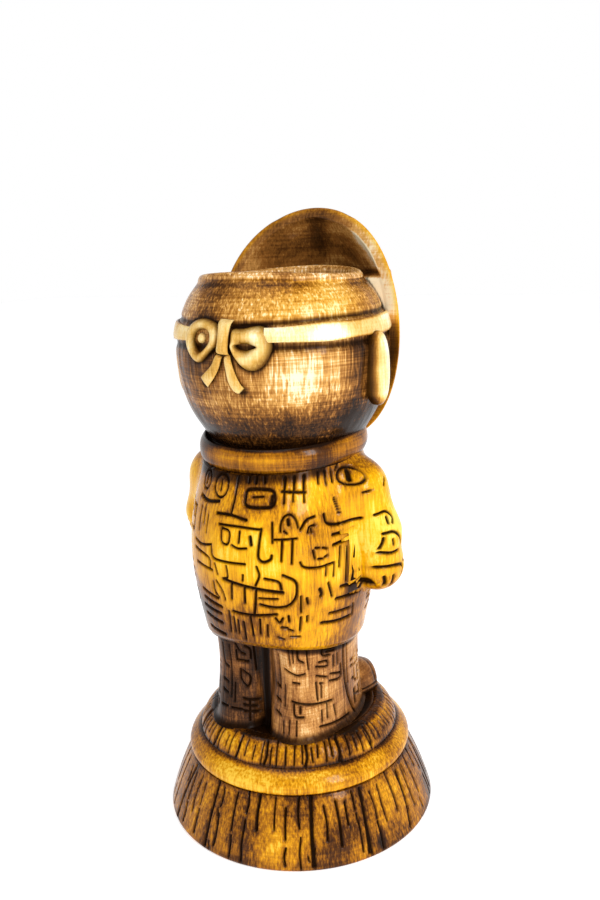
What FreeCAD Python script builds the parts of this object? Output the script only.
import FreeCAD, Part
import os
from math import cos, pi, radians, sin, sqrt

# Tiki mug: a hollow glazed stoneware figure on a round pedestal. The figure faces -Y,
# its left hand is towards +X, and it wears a large oval mask tied on with a ribbon that
# ends in a bow at the back of the head. The open top of the head is the drinking mouth.
# Every sculpted member is its own solid. Members meet face to face, as cut along the
# grooves of the carving. Units are millimetres; the origin is at the middle of the foot.

Vector = FreeCAD.Vector

# ---------------------------------------------------------------- driving dimensions
WALL = 4.5                  # usual thickness of the cast wall
FAR = 200.0                 # reach of cutting blocks
FAR_ABOVE = 20.0            # height of a relief that cuts right through another
OVAL_POINTS = 12            # points that an oval's smooth loop passes through

# pedestal
FOOT_RADIUS = 51.9
FOOT_RING_WIDTH = 4.6
FOOT_RECESS = 1.2
FLOOR_THICKNESS = 4.5
SKIRT_TOP = 24.0
SKIRT_TOP_RADIUS = 42.7
SKIRT_BELLY = 0.7           # how far the skirt bulges out of a straight cone
HEEL_ROUND = 1.6            # size of the rounded edge between the skirt and the foot
HEEL_SOFTNESS = 0.45        # how far the middle of that edge stays inside its corner
RING_TOP = 32.4
RING_TOP_RADIUS = 39.2
RING_BULGE = 3.9            # how far the moulding stands out of its top edge
RING_BULGE_LEVEL = 0.42     # share of the moulding's height where it is widest
BAND_TOP = 40.4
BAND_TOP_RADIUS = 33.0
BAND_BELLY = (0.8, 0.6)     # how far the shoulder bulges outwards and upwards
DECK_THICKNESS = 4.4
DECK_RADIUS = 29.9          # seam between the deck and the shoulder

# trousers and shoes
LEG_CENTRE_X = 12.6
LEG_CENTRE_Y = 5.6
LEG_HALF_WIDTH = 13.7
LEG_HALF_DEPTH = 25.0
LEG_FILL_CENTRE_X = 7.5      # oval that fills most of the crease between the legs
LEG_FILL_HALF_WIDTH = 8.5
LEG_FILL_SETBACK = 1.4      # how much shallower that oval is than the leg
LEG_HOLLOW_HALF_WIDTH = 18.6
LEG_HOLLOW_HALF_DEPTH = 13.0
LEG_CORE_WALL = 3.9         # wall round the hollow, seen in the crease between the legs
SHOE_CENTRE_X = 14.2
SHOE_CENTRE_Y = -18.5
SHOE_HALF_WIDTH = 11.0
SHOE_HALF_LENGTH = 15.0
SHOE_HEIGHT = 9.6
SHOE_TURN = 12.0            # degrees that each toe turns outwards
SHOE_GAP = 0.3              # space between the two shoes

# shirt: height, half width, half depth and centre in Y of each section of the torso
TORSO_SECTIONS = (
    (66.0, 27.0, 31.5, 4.6),
    (76.0, 28.8, 33.6, 4.8),
    (88.0, 31.3, 36.0, 4.7),
    (100.0, 33.0, 37.9, 4.4),
    (110.0, 33.4, 38.3, 4.2),
    (120.0, 32.6, 37.3, 4.0),
    (130.0, 30.6, 34.8, 3.7),
    (139.0, 28.9, 31.4, 3.3),
    (148.0, 27.6, 29.0, 2.6),
)
HEM_FRONT = 71.5            # height of the hem at the front and sides
HEM_BACK = 79.0             # height of the hem at the middle of the back
HEM_BACK_Y = 38.4
HEM_RISE = (0.62, 0.36)     # shares of the way back and up that the middle of the arc takes
SHIRT_EXTRA_WALL = 0.6      # the torso's wall is this much thicker than the usual wall

# arms: centre and radius of each joint, for the arm on the +X side
YOKE = (Vector(20.0, 3.2, 133.0), 9.6)
SHOULDER = (Vector(29.6, 3.0, 129.6), 10.4)
UPPER_ARM = (Vector(35.2, 1.4, 114.0), 9.3)
ELBOW = (Vector(34.5, -1.5, 100.8), 9.4)
FOREARM = (Vector(23.4, -23.6, 98.0), 8.6)
WRIST = (Vector(15.8, -33.0, 99.6), 7.5)
HAND = (Vector(7.6, -36.4, 101.4), 6.7)
CUFF_SHARE = 0.12           # where the sleeve ends, as a share of the way from wrist to hand
PALM_SHARE = 0.92           # radius of the palm at the cuff, as a share of the hand's radius
HAND_GAP = 1.2              # space between the two hands

# collar
COLLAR_TILT = 5.0           # degrees, front edge higher
COLLAR_CENTRE = Vector(0, 2.6, 145.9)
COLLAR_RADIUS = 31.3
COLLAR_HALF_HEIGHT = 4.4
NECK_RADIUS = 24.0
COLLAR_ROUND = 1.6          # how far the collar's edge falls back from its widest circle
COLLAR_WIDEST = -0.4        # height of the widest circle on the collar
COLLAR_LEAN = 0.6           # how much narrower the collar's top edge is

# head bowl: height and radius of the outside, from the neck up to the rim
HEAD_PROFILE = (
    (144.0, 26.0),
    (150.0, 29.8),
    (156.0, 33.5),
    (163.0, 36.4),
    (172.0, 38.3),
    (181.0, 38.5),
    (190.0, 36.8),
    (198.0, 33.4),
    (204.2, 29.5),
)
RIM_TOP = 206.9
RIM_RADIUS = 27.6           # middle of the rounded lip
LIP_HALF_WIDTH = 2.1
LIP_OUTER_POINT = (1.3, 0.7)    # outwards and down from the lip's top
LIP_INNER_POINT = (1.5, 0.8)    # inwards and down from the lip's top
NECK_OPENING = 21.6             # radius of the bowl's lower end, inside

# mask: an ellipsoidal shell whose back edge follows a cylinder that lies across it
MASK_CENTRE = Vector(0, -3.0, 183.0)
MASK_HALF_AXES = (40.6, 42.0, 55.4)
MASK_WALL = 4.0
MASK_EDGE_Y = -17.0         # back edge at the height of the eyes
MASK_EDGE_RADIUS = 99.6     # cylinder that the back edge follows
BRIDGE_LOW = 150.0          # the wall that joins head and mask starts here
BRIDGE_TOP = 203.0          # and ends here

# ribbon and bow, laid on the head
RIBBON_LOW = 184.3
RIBBON_HIGH = 189.4
RIBBON_THICKNESS = 1.3
RIBBON_TILT = 1.1           # degrees that the ribbon rises from the bow to the mask
RIBBON_TILT_Y = 38.0        # the ribbon turns about this line at the back of the head
BOW_THICKNESS = 2.2
KNOT_THICKNESS = 2.9
TAIL_THICKNESS = 1.76

# ears
EAR_CENTRE = Vector(38.8, 4.6, 173.0)
EAR_HALF_AXES = (4.4, 4.2, 12.8)


# ---------------------------------------------------------------- helpers
def block(low, high):
    """Box from its lowest to its highest corner."""
    return Part.makeBox(high[0] - low[0], high[1] - low[1], high[2] - low[2], Vector(*low))


def stretched(shape, factors, centre):
    """Shape about the origin, stretched along X, Y and Z and moved to centre."""
    matrix = FreeCAD.Matrix()
    matrix.scale(*factors)
    return shape.transformGeometry(matrix).translated(centre)


def ellipsoid(centre, half_axes):
    return stretched(Part.makeSphere(1.0), half_axes, centre)


def oval_wire(half_width, half_depth, centre):
    """Closed level oval about centre, as one smooth loop."""
    points = []
    for step in range(OVAL_POINTS):
        angle = 2 * pi * step / OVAL_POINTS
        points.append(centre + Vector(half_width * cos(angle), half_depth * sin(angle), 0))
    curve = Part.BSplineCurve()
    curve.interpolate(points, PeriodicFlag=True)
    return Part.Wire([curve.toShape()])


def stack(sections, shrink=0.0):
    """Smooth solid through level ovals given as height, half width, half depth, centre Y."""
    wires = [oval_wire(a - shrink, b - shrink, Vector(0, y, z)) for z, a, b, y in sections]
    return Part.makeLoft(wires, True, False)


def turned(profile_edges):
    """Solid of revolution about Z from edges in the XZ plane that close on the axis."""
    face = Part.Face(Part.Wire(profile_edges))
    return face.revolve(Vector(0, 0, 0), Vector(0, 0, 1), 360)


def line(start, end):
    """Straight edge in the XZ plane between two radius and height pairs."""
    return Part.LineSegment(Vector(start[0], 0, start[1]), Vector(end[0], 0, end[1])).toShape()


def arc(start, middle, end):
    """Arc in the XZ plane through three radius and height pairs."""
    points = [Vector(r, 0, z) for r, z in (start, middle, end)]
    return Part.Arc(*points).toShape()


def spline(points):
    """Smooth edge in the XZ plane through radius and height pairs."""
    curve = Part.BSplineCurve()
    curve.interpolate([Vector(r, 0, z) for r, z in points])
    return curve.toShape()


def mirrored(shape):
    """The same member on the other side of the figure."""
    return shape.mirror(Vector(0, 0, 0), Vector(1, 0, 0))


def largest(shape):
    """The biggest solid of a shape, without the crumbs of a cut."""
    return max(shape.Solids, key=lambda solid: solid.Volume)


# ---------------------------------------------------------------- pedestal
def pedestal_skirt():
    """Flared skirt with a rounded heel and a foot ring under it."""
    low = (FOOT_RADIUS, HEEL_ROUND)
    high = (SKIRT_TOP_RADIUS, SKIRT_TOP)
    middle = ((low[0] + high[0]) / 2 + SKIRT_BELLY, (low[1] + high[1]) / 2)
    heel = (FOOT_RADIUS - HEEL_ROUND, 0.0)
    heel_middle = (FOOT_RADIUS - HEEL_SOFTNESS, HEEL_SOFTNESS)
    outer = [arc(heel, heel_middle, low), arc(low, middle, high), line(high, (0, SKIRT_TOP)),
             line((0, SKIRT_TOP), (0, 0)), line((0, 0), heel)]
    hollow = Part.makeCone(FOOT_RADIUS - FOOT_RING_WIDTH, SKIRT_TOP_RADIUS - WALL, SKIRT_TOP)
    return turned(outer).cut(hollow)


def base_floor():
    """Closed bottom of the mug, set up inside the foot ring."""
    slope = (SKIRT_TOP_RADIUS - WALL - FOOT_RADIUS + FOOT_RING_WIDTH) / SKIRT_TOP
    low_radius = FOOT_RADIUS - FOOT_RING_WIDTH + slope * FOOT_RECESS
    high_radius = low_radius + slope * FLOOR_THICKNESS
    return Part.makeCone(low_radius, high_radius, FLOOR_THICKNESS, Vector(0, 0, FOOT_RECESS))


def pedestal_ring():
    """Smooth half-round moulding on top of the skirt."""
    low = (SKIRT_TOP_RADIUS, SKIRT_TOP)
    high = (RING_TOP_RADIUS, RING_TOP)
    bulge = (RING_TOP_RADIUS + RING_BULGE,
             SKIRT_TOP + RING_BULGE_LEVEL * (RING_TOP - SKIRT_TOP))
    outer = [arc(low, bulge, high), line(high, (0, RING_TOP)),
             line((0, RING_TOP), (0, SKIRT_TOP)), line((0, SKIRT_TOP), low)]
    hollow = Part.makeCone(SKIRT_TOP_RADIUS - WALL, RING_TOP_RADIUS - WALL,
                           RING_TOP - SKIRT_TOP, Vector(0, 0, SKIRT_TOP))
    return turned(outer).cut(hollow)


def pedestal_band():
    """Sloping shoulder between the moulding and the deck."""
    low = (RING_TOP_RADIUS, RING_TOP)
    high = (BAND_TOP_RADIUS, BAND_TOP)
    middle = ((low[0] + high[0]) / 2 + BAND_BELLY[0], (low[1] + high[1]) / 2 + BAND_BELLY[1])
    outer = [arc(low, middle, high), line(high, (0, BAND_TOP)),
             line((0, BAND_TOP), (0, RING_TOP)), line((0, RING_TOP), low)]
    under = BAND_TOP - DECK_THICKNESS
    hollow = Part.makeCone(RING_TOP_RADIUS - WALL, DECK_RADIUS, under - RING_TOP,
                           Vector(0, 0, RING_TOP))
    seat = Part.makeCylinder(DECK_RADIUS, DECK_THICKNESS, Vector(0, 0, under))
    return turned(outer).cut(hollow).cut(seat)


def leg_hollow(low, high):
    """Space inside the two legs, open to the torso and to the pedestal."""
    wire = oval_wire(LEG_HOLLOW_HALF_WIDTH, LEG_HOLLOW_HALF_DEPTH, Vector(0, LEG_CENTRE_Y, low))
    return Part.Face(wire).extrude(Vector(0, 0, high - low))


def pedestal_deck():
    """Round floor under the feet, pierced by the hollow of the legs."""
    under = BAND_TOP - DECK_THICKNESS
    disc = Part.makeCylinder(DECK_RADIUS, DECK_THICKNESS, Vector(0, 0, under))
    return disc.cut(leg_hollow(under - 1, BAND_TOP + 1))


# ---------------------------------------------------------------- legs and shoes
def hem_cutter():
    """Everything below the hem: level in front, rising in an arc towards the back."""
    start = Vector(-FAR, 0, HEM_FRONT)
    rise_middle = Vector(-FAR, HEM_BACK_Y * HEM_RISE[0],
                         HEM_FRONT + (HEM_BACK - HEM_FRONT) * HEM_RISE[1])
    rise_end = Vector(-FAR, HEM_BACK_Y, HEM_BACK)
    corners = [Vector(-FAR, -FAR, HEM_FRONT), Vector(-FAR, -FAR, -FAR),
               Vector(-FAR, HEM_BACK_Y + 20, -FAR), Vector(-FAR, HEM_BACK_Y + 20, HEM_BACK)]
    edges = [
        Part.LineSegment(start, corners[0]).toShape(),
        Part.LineSegment(corners[0], corners[1]).toShape(),
        Part.LineSegment(corners[1], corners[2]).toShape(),
        Part.LineSegment(corners[2], corners[3]).toShape(),
        Part.LineSegment(corners[3], rise_end).toShape(),
        Part.Arc(rise_end, rise_middle, start).toShape(),
    ]
    return Part.Face(Part.Wire(edges)).extrude(Vector(2 * FAR, 0, 0))


def trouser_leg(hem):
    """Trouser leg on the +X side, from the deck up to the shirt's hem."""
    sections = (
        (BAND_TOP, LEG_HALF_WIDTH, LEG_HALF_DEPTH, 0.4),
        (50.0, LEG_HALF_WIDTH - 0.5, LEG_HALF_DEPTH - 0.9, 0.0),
        (62.0, LEG_HALF_WIDTH - 1.0, LEG_HALF_DEPTH - 2.2, -0.5),
        (74.0, LEG_HALF_WIDTH - 0.8, LEG_HALF_DEPTH - 1.6, -0.5),
        (84.0, LEG_HALF_WIDTH - 0.6, LEG_HALF_DEPTH - 1.4, -0.5),
    )
    wires = [oval_wire(a, b, Vector(LEG_CENTRE_X, LEG_CENTRE_Y + y, z)) for z, a, b, y in sections]
    fill_wires = [oval_wire(LEG_FILL_HALF_WIDTH, b - LEG_FILL_SETBACK,
                            Vector(LEG_FILL_CENTRE_X, LEG_CENTRE_Y + y, z)) for z, _, b, y in sections]
    fill = Part.makeLoft(fill_wires, True, False)
    core_wire = oval_wire(LEG_HOLLOW_HALF_WIDTH + LEG_CORE_WALL,
                          LEG_HOLLOW_HALF_DEPTH + LEG_CORE_WALL,
                          Vector(0, LEG_CENTRE_Y, BAND_TOP))
    core = Part.Face(core_wire).extrude(Vector(0, 0, HEM_BACK + 4 - BAND_TOP))
    leg = Part.makeLoft(wires, True, False).fuse([core, fill])
    half = block((0, -FAR, 0), (FAR, FAR, FAR))
    return leg.common(half).common(hem).cut(leg_hollow(BAND_TOP - 1, HEM_BACK + 10))


def shoe(leg):
    """Rounded shoe on the +X side that comes out from under the trouser leg."""
    body = ellipsoid(Vector(0, 0, 0), (SHOE_HALF_WIDTH, SHOE_HALF_LENGTH, SHOE_HEIGHT))
    body = body.common(block((-FAR, -FAR, 0), (FAR, FAR, FAR)))
    body.rotate(Vector(0, 0, 0), Vector(0, 0, 1), SHOE_TURN)
    body = body.translated(Vector(SHOE_CENTRE_X, SHOE_CENTRE_Y, BAND_TOP))
    body = body.common(Part.makeCylinder(BAND_TOP_RADIUS, FAR))
    half = block((SHOE_GAP / 2, -FAR, 0), (FAR, FAR, FAR))
    return largest(body.common(half).cut(leg).cut(leg_hollow(0, FAR)))


# ---------------------------------------------------------------- shirt
def torso():
    return stack(TORSO_SECTIONS)


def torso_hollow():
    return stack(TORSO_SECTIONS, WALL + SHIRT_EXTRA_WALL)


def tilted_level(centre, degrees):
    """Block above a plane through centre that rises towards the front."""
    slab = block((-FAR, -FAR, 0), (FAR, FAR, FAR))
    slab.rotate(Vector(0, 0, 0), Vector(1, 0, 0), -degrees)
    return slab.translated(centre)


def collar_plane(side):
    """Space above the collar's lower (side -1) or upper (side +1) face."""
    rise = side * COLLAR_HALF_HEIGHT
    lean = radians(COLLAR_TILT)
    offset = Vector(0, rise * sin(lean), rise * cos(lean))
    return tilted_level(COLLAR_CENTRE + offset, COLLAR_TILT)


def limb(joints):
    """Round limb through joints, each given as centre and radius."""
    parts = []
    for (start, start_radius), (end, end_radius) in zip(joints, joints[1:]):
        axis = end - start
        spread = (start_radius - end_radius) / axis.Length
        reach = sqrt(1 - spread * spread)
        direction = Vector(axis).normalize()
        foot = start + direction * (start_radius * spread)
        head = end + direction * (end_radius * spread)
        parts.append(Part.makeCone(start_radius * reach, end_radius * reach,
                                   (head - foot).Length, foot, direction))
    parts += [Part.makeSphere(radius, centre) for centre, radius in joints]
    return parts[0].multiFuse(parts[1:])


def sleeve(torso_solid):
    """Bent sleeve on the +X side, from the shoulder to the wrist."""
    arm = limb([YOKE, SHOULDER, UPPER_ARM, ELBOW, FOREARM, WRIST])
    cuff = WRIST[0] + (HAND[0] - WRIST[0]) * CUFF_SHARE
    wrist_axis = Vector(HAND[0] - WRIST[0]).normalize()
    beyond = Part.makeCylinder(30, 60, cuff, wrist_axis)
    return largest(arm.cut(torso_solid).cut(beyond))


def hand(torso_solid, sleeve_solid):
    """Hand on the +X side, resting flat on the belly."""
    palm_start = WRIST[0] + (HAND[0] - WRIST[0]) * CUFF_SHARE
    palm = limb([(palm_start, HAND[1] * PALM_SHARE), HAND])
    half = block((HAND_GAP / 2, -FAR, 0), (FAR, FAR, FAR))
    return largest(palm.common(half).cut(torso_solid).cut(sleeve_solid))


def collar(shell):
    """Rounded stand-up collar, tilted with the shoulders."""
    inner = NECK_RADIUS
    high = COLLAR_HALF_HEIGHT
    edge = COLLAR_RADIUS - COLLAR_ROUND
    top_edge = edge - COLLAR_LEAN
    face = [line((inner, -high), (edge, -high)),
            arc((edge, -high), (COLLAR_RADIUS, COLLAR_WIDEST), (top_edge, high)),
            line((top_edge, high), (inner, high)), line((inner, high), (inner, -high))]
    ring = turned(face)
    ring.rotate(Vector(0, 0, 0), Vector(1, 0, 0), -COLLAR_TILT)
    return largest(ring.translated(COLLAR_CENTRE).cut(shell))


# ---------------------------------------------------------------- head
def head_outside(extra=0.0):
    """Closed egg of the head, grown outwards by extra, up to the start of the lip."""
    points = [(r + extra, z) for z, r in HEAD_PROFILE]
    low_z = HEAD_PROFILE[0][0]
    high_z = HEAD_PROFILE[-1][0]
    return turned([spline(points), line(points[-1], (0, high_z)),
                   line((0, high_z), (0, low_z)), line((0, low_z), points[0])])


def lip():
    """Rounded drinking lip on top of the head."""
    low_z = HEAD_PROFILE[-1][0]
    outer = HEAD_PROFILE[-1][1]
    inner = RIM_RADIUS - LIP_HALF_WIDTH
    outer_point = (RIM_RADIUS + LIP_OUTER_POINT[0], RIM_TOP - LIP_OUTER_POINT[1])
    inner_point = (RIM_RADIUS - LIP_INNER_POINT[0], RIM_TOP - LIP_INNER_POINT[1])
    face = [arc((outer, low_z), outer_point, (RIM_RADIUS, RIM_TOP)),
            arc((RIM_RADIUS, RIM_TOP), inner_point, (inner, low_z)),
            line((inner, low_z), (outer, low_z))]
    return turned(face)


def head_hollow():
    """Inside of the bowl, from the neck to the mouth."""
    points = [(r - WALL, z) for z, r in HEAD_PROFILE]
    points[0] = (NECK_OPENING, HEAD_PROFILE[0][0])
    points[-1] = (RIM_RADIUS - LIP_HALF_WIDTH, HEAD_PROFILE[-1][0])
    low_z = HEAD_PROFILE[0][0]
    high_z = HEAD_PROFILE[-1][0]
    return turned([spline(points), line(points[-1], (0, high_z)),
                   line((0, high_z), (0, low_z)), line((0, low_z), points[0])])


def mask_body(inset):
    """Ellipsoid of the mask, moved in by inset."""
    return ellipsoid(MASK_CENTRE, [half - inset for half in MASK_HALF_AXES])


def mask_edge():
    """Cylinder across the mask that its back edge follows."""
    centre = Vector(-FAR, MASK_EDGE_Y - MASK_EDGE_RADIUS, MASK_CENTRE.z)
    return Part.makeCylinder(MASK_EDGE_RADIUS, 2 * FAR, centre, Vector(1, 0, 0))


def mask_shell():
    return mask_body(0).cut(mask_body(MASK_WALL)).common(mask_edge())


def head_bowl(shell):
    """Open bowl of the head, joined to the inside of the mask below the mouth."""
    above = collar_plane(+1)
    edge = mask_edge()
    inside_mask = mask_body(MASK_WALL)
    bridge_space = block((-FAR, -FAR, BRIDGE_LOW), (FAR, FAR, BRIDGE_TOP))
    bridge = inside_mask.common(edge).common(bridge_space)
    egg = head_outside()
    front = egg.common(edge).common(inside_mask)
    back = egg.cut(edge)
    body = back.fuse([front, bridge, lip()]).cut(head_hollow()).common(above)
    return largest(body.cut(shell))


def ear(head, shell):
    """Ear on the +X side, between the head and the mask."""
    return largest(ellipsoid(EAR_CENTRE, EAR_HALF_AXES).cut(head_outside()).cut(head).cut(shell))


# ---------------------------------------------------------------- ribbon and bow
def laid_on_head(outline, thickness):
    """Relief of even thickness on the back of the head, from an outline in X and Z."""
    face = Part.Face(outline)
    prism = face.extrude(Vector(0, FAR, 0))
    return prism.common(head_outside(thickness)).cut(head_outside())


def xz_loop(points):
    """Closed smooth outline through points in X and Z."""
    curve = Part.BSplineCurve()
    curve.interpolate([Vector(x, 0, z) for x, z in points], PeriodicFlag=True)
    return Part.Wire([curve.toShape()])


def xz_polygon(points):
    """Closed outline with straight sides through points in X and Z."""
    corners = [Vector(x, 0, z) for x, z in points]
    return Part.makePolygon(corners + corners[:1])


KNOT = ((-2.5, 192.0), (2.2, 191.2), (1.6, 187.0), (2.6, 181.0), (-2.0, 180.9), (-2.8, 186.4))
LEFT_LOOP = ((1.9, 188.6), (5.0, 191.3), (10.5, 192.2), (15.6, 190.6), (18.2, 186.6),
             (17.0, 181.8), (12.9, 177.8), (9.0, 178.6), (5.0, 182.0), (2.2, 184.4))
LEFT_LOOP_HOLE = ((5.4, 186.9), (8.6, 188.9), (12.6, 187.9), (13.6, 184.6),
                  (11.4, 181.4), (8.4, 181.9), (6.0, 184.2))
RIGHT_LOOP = ((-2.6, 189.2), (-6.0, 188.8), (-10.6, 188.4), (-14.2, 185.2), (-15.1, 180.8),
              (-12.8, 176.6), (-8.8, 175.4), (-5.4, 177.6), (-3.0, 181.4), (-2.4, 185.4))
RIGHT_LOOP_SLIT = ((-3.7, 184.2), (-7.4, 184.6), (-11.6, 183.5), (-8.0, 181.4), (-4.6, 182.2))
LEFT_TAIL = ((0.4, 180.7), (3.2, 180.7), (5.6, 176.4), (10.4, 172.9), (8.8, 168.9),
             (4.4, 171.6), (1.6, 176.2))
RIGHT_TAIL = ((-0.4, 180.7), (-2.6, 180.7), (-3.6, 176.0), (-6.6, 170.4), (-4.3, 166.9),
              (-1.2, 171.8))


def bow():
    """The knot, two loops and two tails of the bow."""
    knot = laid_on_head(xz_polygon(KNOT), KNOT_THICKNESS)
    pieces = {"bow_knot": knot}
    left = laid_on_head(xz_loop(LEFT_LOOP), BOW_THICKNESS)
    left = left.cut(laid_on_head(xz_loop(LEFT_LOOP_HOLE), FAR_ABOVE))
    right = laid_on_head(xz_loop(RIGHT_LOOP), BOW_THICKNESS)
    right = right.cut(laid_on_head(xz_loop(RIGHT_LOOP_SLIT), FAR_ABOVE))
    pieces["bow_left_loop"] = left.cut(knot)
    pieces["bow_right_loop"] = right.cut(knot)
    taken = knot.fuse([pieces["bow_left_loop"], pieces["bow_right_loop"]])
    for name, outline in (("bow_left_tail", LEFT_TAIL), ("bow_right_tail", RIGHT_TAIL)):
        pieces[name] = laid_on_head(xz_polygon(outline), TAIL_THICKNESS).cut(taken)
    return {name: largest(shape) for name, shape in pieces.items()}


def headband(side, bow_solids, shell, head, ears):
    """Ribbon from the bow round one side of the head to the mask; side +1 is the left."""
    slab = block((-FAR, -FAR, RIBBON_LOW), (FAR, FAR, RIBBON_HIGH))
    slab.rotate(Vector(0, RIBBON_TILT_Y, RIBBON_LOW), Vector(1, 0, 0), -RIBBON_TILT)
    band = head_outside(RIBBON_THICKNESS).common(slab).cut(head_outside()).cut(mask_edge())
    half = block((0, -FAR, 0), (FAR, FAR, FAR))
    band = band.common(half if side > 0 else mirrored(half))
    for solid in list(bow_solids.values()) + [shell, head] + ears:
        band = band.cut(solid)
    return largest(band)


# ---------------------------------------------------------------- carved face of the mask
def on_mask(outline, thickness):
    """Relief on the front of the mask, from an outline in X and Z."""
    prism = Part.Face(outline).extrude(Vector(0, -FAR, 0))
    return prism.common(mask_body(-thickness)).cut(mask_body(0)).common(mask_edge())


def xz_oval(centre_x, centre_z, half_width, half_height):
    points = []
    for step in range(OVAL_POINTS):
        angle = 2 * pi * step / OVAL_POINTS
        points.append((centre_x + half_width * cos(angle), centre_z + half_height * sin(angle)))
    return xz_loop(points)


def mirrored_outline(points):
    """Outline closed by its own mirror image across the middle of the mask."""
    return list(points) + [(-x, z) for x, z in reversed(points)]


BROW = ((0.0, 200.0), (7.0, 204.0), (16.0, 206.0), (25.0, 202.5), (29.5, 196.0),
        (26.6, 193.6), (20.0, 199.0), (13.0, 200.0), (7.6, 197.2))
NOSE = ((5.2, 199.0), (4.6, 190.0), (6.4, 181.0), (10.6, 174.6), (9.0, 170.6), (4.0, 169.8))
EYE_X = 15.6
EYE_Z = 189.4
EYE_HALF = (8.6, 5.2)
MOUTH_Z = 157.0
MOUTH_HALF = (18.5, 9.0)
LIP_WIDTH = 4.0
TOOTH_COUNT = 6
TOOTH_GAP = 0.7             # between two teeth of a row
ROW_GAP = 0.8               # between the upper and the lower row
NOSE_RELIEF = 4.6           # how far each feature stands out of the mask
MOUTH_RELIEF = 3.4
BROW_RELIEF = 3.0
EYE_RELIEF = 2.4
TEETH_RELIEF = 1.8


def mask_face():
    """Brow, nose, eyes, lips and teeth of the mask."""
    nose = on_mask(xz_polygon(mirrored_outline(NOSE)), NOSE_RELIEF)
    brow_outline = BROW + tuple((-x, z) for x, z in reversed(BROW[1:]))
    brow = on_mask(xz_polygon(brow_outline), BROW_RELIEF).cut(nose)
    left_eye = on_mask(xz_oval(EYE_X, EYE_Z, *EYE_HALF), EYE_RELIEF).cut(nose).cut(brow)
    opening = xz_oval(0, MOUTH_Z, MOUTH_HALF[0] - LIP_WIDTH, MOUTH_HALF[1] - LIP_WIDTH)
    mouth = on_mask(xz_oval(0, MOUTH_Z, *MOUTH_HALF), MOUTH_RELIEF)
    mouth = mouth.cut(on_mask(opening, FAR_ABOVE))
    teeth = on_mask(opening, TEETH_RELIEF)
    gaps = []
    pitch = 2 * (MOUTH_HALF[0] - LIP_WIDTH) / TOOTH_COUNT
    for step in range(1, TOOTH_COUNT):
        x = -MOUTH_HALF[0] + LIP_WIDTH + pitch * step
        gaps.append(block((x - TOOTH_GAP / 2, -FAR, 0), (x + TOOTH_GAP / 2, 0, FAR)))
    gaps.append(block((-FAR, -FAR, MOUTH_Z - ROW_GAP / 2), (FAR, 0, MOUTH_Z + ROW_GAP / 2)))
    return {
        "mask_nose": largest(nose),
        "mask_brow": largest(brow),
        "mask_left_eye": largest(left_eye),
        "mask_right_eye": largest(mirrored(left_eye)),
        "mask_mouth": largest(mouth),
        "mask_teeth": teeth.cut(gaps),
    }


# ---------------------------------------------------------------- assembly
def build():
    parts = {}
    parts["pedestal_skirt"] = pedestal_skirt()
    parts["base_floor"] = base_floor()
    parts["pedestal_ring"] = pedestal_ring()
    parts["pedestal_band"] = pedestal_band()
    parts["pedestal_deck"] = pedestal_deck()

    below_hem = hem_cutter()
    left_leg = trouser_leg(below_hem)
    left_shoe = shoe(left_leg)
    parts["left_trouser_leg"] = left_leg
    parts["right_trouser_leg"] = mirrored(left_leg)
    parts["left_shoe"] = left_shoe
    parts["right_shoe"] = mirrored(left_shoe)

    shell = mask_shell()
    below_collar = block((-FAR, -FAR, -FAR), (FAR, FAR, FAR)).cut(collar_plane(-1))
    torso_solid = torso().cut(below_hem).common(below_collar)
    mask_solid = mask_body(0).common(mask_edge())
    parts["shirt_body"] = largest(torso_solid.cut(torso_hollow()).cut(mask_solid))
    left_sleeve = sleeve(torso_solid).cut(mask_solid)
    left_hand = hand(torso_solid, left_sleeve)
    parts["left_sleeve"] = largest(left_sleeve)
    parts["right_sleeve"] = mirrored(parts["left_sleeve"])
    parts["left_hand"] = left_hand
    parts["right_hand"] = mirrored(left_hand)

    parts["collar"] = collar(shell)
    parts["mask_shell"] = largest(shell)
    head = head_bowl(shell)
    parts["head_bowl"] = head
    left_ear = ear(head, shell)
    right_ear = mirrored(left_ear)
    bow_solids = bow()
    ears = [left_ear, right_ear]
    parts["headband_left"] = headband(+1, bow_solids, shell, head, ears)
    parts["headband_right"] = headband(-1, bow_solids, shell, head, ears)
    parts["left_ear"] = left_ear
    parts["right_ear"] = right_ear
    parts.update(bow_solids)
    parts.update(mask_face())
    return parts


os.makedirs("parts", exist_ok=True)
for name, shape in build().items():
    print(f"{name:20s} solids {len(shape.Solids)} valid {shape.isValid()} volume {shape.Volume:.0f}")
    shape.exportStep(f"parts/{name}.step")
